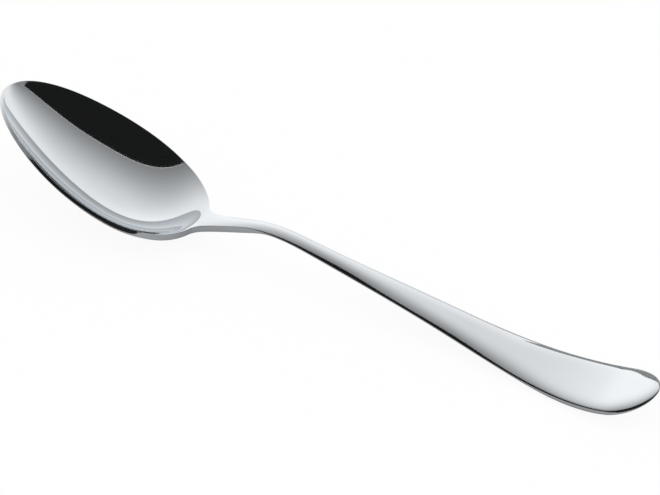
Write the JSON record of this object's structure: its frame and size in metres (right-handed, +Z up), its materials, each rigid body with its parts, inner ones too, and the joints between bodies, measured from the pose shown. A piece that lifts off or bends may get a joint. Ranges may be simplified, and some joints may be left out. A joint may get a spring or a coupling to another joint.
{
  "type": "tablespoon",
  "caption": "Plain mirror-polished steel tablespoon with an egg-shaped bowl, an arched neck and a crowned handle that widens to a rounded, upturned end.",
  "frame": {"origin": "on the table plane, under the middle of the overall length and width", "axes": "+X from the bowl's tip to the handle's end, +Y across the spoon, +Z up, with the bowl open upwards"},
  "size_m": [0.2056, 0.046, 0.0262],
  "materials": {
    "steel": "mirror-polished stainless steel"
  },
  "bodies": {
    "root": {"spoon": "steel"}
  },
  "joints": []
}
